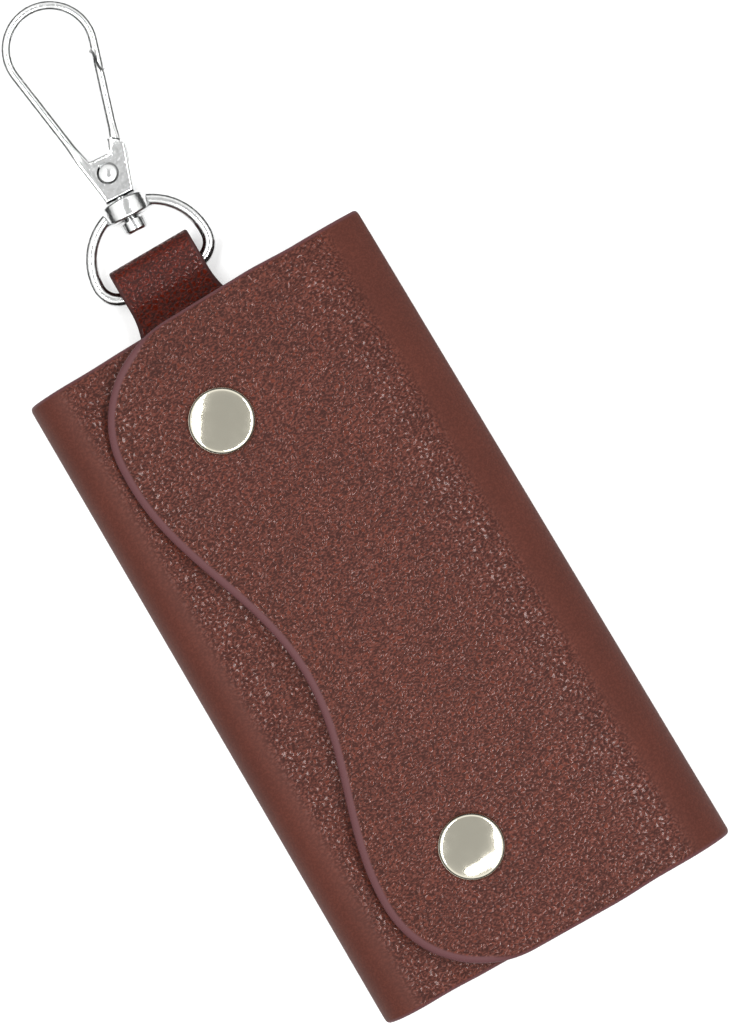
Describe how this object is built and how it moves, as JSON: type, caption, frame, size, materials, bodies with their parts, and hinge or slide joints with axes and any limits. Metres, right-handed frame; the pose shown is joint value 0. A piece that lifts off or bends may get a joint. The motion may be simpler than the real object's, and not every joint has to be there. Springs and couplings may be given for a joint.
{
  "type": "key case",
  "caption": "Folding leather key case with a snap-fastened flap, an inner rail of key hooks, and a swivel snap hook on a ring in a leather loop.",
  "frame": {"origin": "centre of the flat back that the closed case lies on", "axes": "+Z out of the front, through the snap caps; +Y along the case's length, towards the snap hook; +X to the right as the flap is seen, towards its fold"},
  "size_m": [0.066, 0.1806, 0.0181],
  "materials": {
    "hide": "pebbled coated leather, satin",
    "lining": "fine woven lining, matt",
    "strap": "pebbled coated leather, satin",
    "snap_caps": "polished nickel plate",
    "snap_metal": "nickel plate",
    "hook_metal": "polished nickel plate",
    "spring_steel": "spring steel wire",
    "rail_metal": "nickel plated steel",
    "key_gate_metal": "spring steel strip"
  },
  "bodies": {
    "back": {"back_panel": "hide", "back_lining": "lining", "hook_strap": "strap", "strap_rivet": "snap_metal", "rail_plate": "rail_metal", "rail_rod": "rail_metal", "rail_rivets": "snap_metal"},
    "right_spine": {"right_spine": "hide", "right_spine_lining": "lining"},
    "flap": {"flap_panel": "hide", "flap_lining": "lining", "snap_cap_top": "snap_caps", "snap_cap_bottom": "snap_caps", "snap_socket_top": "snap_metal", "snap_socket_bottom": "snap_metal"},
    "left_spine": {"left_spine": "hide", "left_spine_lining": "lining"},
    "under_panel": {"under_panel": "hide", "under_lining": "lining", "snap_stud_top": "snap_metal", "snap_stud_bottom": "snap_metal", "stud_eyelet_top": "snap_metal", "stud_eyelet_bottom": "snap_metal"},
    "ring": {"swivel_ring": "hook_metal"},
    "hook": {"hook_body": "hook_metal", "swivel_pin": "hook_metal", "gate_rivet": "hook_metal"},
    "gate": {"hook_gate": "hook_metal", "gate_spring": "spring_steel"},
    "key_hook_1": {"key_hook_1": "rail_metal"},
    "key_gate_1": {"key_gate_1": "key_gate_metal"},
    "key_hook_2": {"key_hook_2": "rail_metal"},
    "key_gate_2": {"key_gate_2": "key_gate_metal"},
    "key_hook_3": {"key_hook_3": "rail_metal"},
    "key_gate_3": {"key_gate_3": "key_gate_metal"},
    "key_hook_4": {"key_hook_4": "rail_metal"},
    "key_gate_4": {"key_gate_4": "key_gate_metal"},
    "key_hook_5": {"key_hook_5": "rail_metal"},
    "key_gate_5": {"key_gate_5": "key_gate_metal"},
    "key_hook_6": {"key_hook_6": "rail_metal"},
    "key_gate_6": {"key_gate_6": "key_gate_metal"}
  },
  "joints": [
    {"name": "right_spine_fold", "type": "hinge", "parent": "back", "child": "right_spine", "pos_m": [0.03057, 0, 0.00243], "axis": [0, 1, 0], "range_deg": [0, 90]},
    {"name": "flap_fold", "type": "hinge", "parent": "right_spine", "child": "flap", "pos_m": [0.03057, 0, 0.01417], "axis": [0, 1, 0], "range_deg": [0, 90]},
    {"name": "left_spine_fold", "type": "hinge", "parent": "back", "child": "left_spine", "pos_m": [-0.03104, 0, 0.00196], "axis": [0, -1, 0], "range_deg": [0, 90]},
    {"name": "under_panel_fold", "type": "hinge", "parent": "left_spine", "child": "under_panel", "pos_m": [-0.03104, 0, 0.01144], "axis": [0, -1, 0], "range_deg": [0, 90]},
    {"name": "ring_swing", "type": "hinge", "parent": "back", "child": "ring", "pos_m": [-0.0023, 0.0675, 0.00337], "axis": [0.9983, -0.0576, 0], "range_deg": [-90, 90]},
    {"name": "hook_swivel", "type": "hinge", "parent": "ring", "child": "hook", "pos_m": [-0.00152, 0.08105, 0.00337], "axis": [0.0576, 0.9983, 0], "continuous": true},
    {"name": "gate_swing", "type": "hinge", "parent": "hook", "child": "gate", "pos_m": [-0.00114, 0.08759, 0.00337], "axis": [0, 0, 1], "range_deg": [0, 22], "stiffness_Nm_per_rad": 0.01, "springref_deg": -11.46},
    {"name": "key_hook_1_swing", "type": "hinge", "parent": "back", "child": "key_hook_1", "pos_m": [-0.02101, 0.041, 0.0043], "axis": [-1, 0, 0], "range_deg": [0, 12]},
    {"name": "key_gate_1_swing", "type": "hinge", "parent": "key_hook_1", "child": "key_gate_1", "pos_m": [-0.024, 0.0316, 0.0024], "axis": [0, 0, 1], "range_deg": [0, 18], "stiffness_Nm_per_rad": 0.001, "springref_deg": -5.73},
    {"name": "key_hook_2_swing", "type": "hinge", "parent": "back", "child": "key_hook_2", "pos_m": [-0.01293, 0.041, 0.0043], "axis": [-1, 0, 0], "range_deg": [0, 12]},
    {"name": "key_gate_2_swing", "type": "hinge", "parent": "key_hook_2", "child": "key_gate_2", "pos_m": [-0.01592, 0.0316, 0.0024], "axis": [0, 0, 1], "range_deg": [0, 18], "stiffness_Nm_per_rad": 0.001, "springref_deg": -5.73},
    {"name": "key_hook_3_swing", "type": "hinge", "parent": "back", "child": "key_hook_3", "pos_m": [-0.00484, 0.041, 0.0043], "axis": [-1, 0, 0], "range_deg": [0, 12]},
    {"name": "key_gate_3_swing", "type": "hinge", "parent": "key_hook_3", "child": "key_gate_3", "pos_m": [-0.00783, 0.0316, 0.0024], "axis": [0, 0, 1], "range_deg": [0, 18], "stiffness_Nm_per_rad": 0.001, "springref_deg": -5.73},
    {"name": "key_hook_4_swing", "type": "hinge", "parent": "back", "child": "key_hook_4", "pos_m": [0.00324, 0.041, 0.0043], "axis": [-1, 0, 0], "range_deg": [0, 12]},
    {"name": "key_gate_4_swing", "type": "hinge", "parent": "key_hook_4", "child": "key_gate_4", "pos_m": [0.00025, 0.0316, 0.0024], "axis": [0, 0, 1], "range_deg": [0, 18], "stiffness_Nm_per_rad": 0.001, "springref_deg": -5.73},
    {"name": "key_hook_5_swing", "type": "hinge", "parent": "back", "child": "key_hook_5", "pos_m": [0.01132, 0.041, 0.0043], "axis": [-1, 0, 0], "range_deg": [0, 12]},
    {"name": "key_gate_5_swing", "type": "hinge", "parent": "key_hook_5", "child": "key_gate_5", "pos_m": [0.00833, 0.0316, 0.0024], "axis": [0, 0, 1], "range_deg": [0, 18], "stiffness_Nm_per_rad": 0.001, "springref_deg": -5.73},
    {"name": "key_hook_6_swing", "type": "hinge", "parent": "back", "child": "key_hook_6", "pos_m": [0.01941, 0.041, 0.0043], "axis": [-1, 0, 0], "range_deg": [0, 12]},
    {"name": "key_gate_6_swing", "type": "hinge", "parent": "key_hook_6", "child": "key_gate_6", "pos_m": [0.01642, 0.0316, 0.0024], "axis": [0, 0, 1], "range_deg": [0, 18], "stiffness_Nm_per_rad": 0.001, "springref_deg": -5.73}
  ],
  "couplings": [
    {"joint": "right_spine_fold", "follows": "flap_fold", "ratio": 1},
    {"joint": "left_spine_fold", "follows": "flap_fold", "ratio": 0.6},
    {"joint": "under_panel_fold", "follows": "flap_fold", "ratio": 0.6}
  ]
}
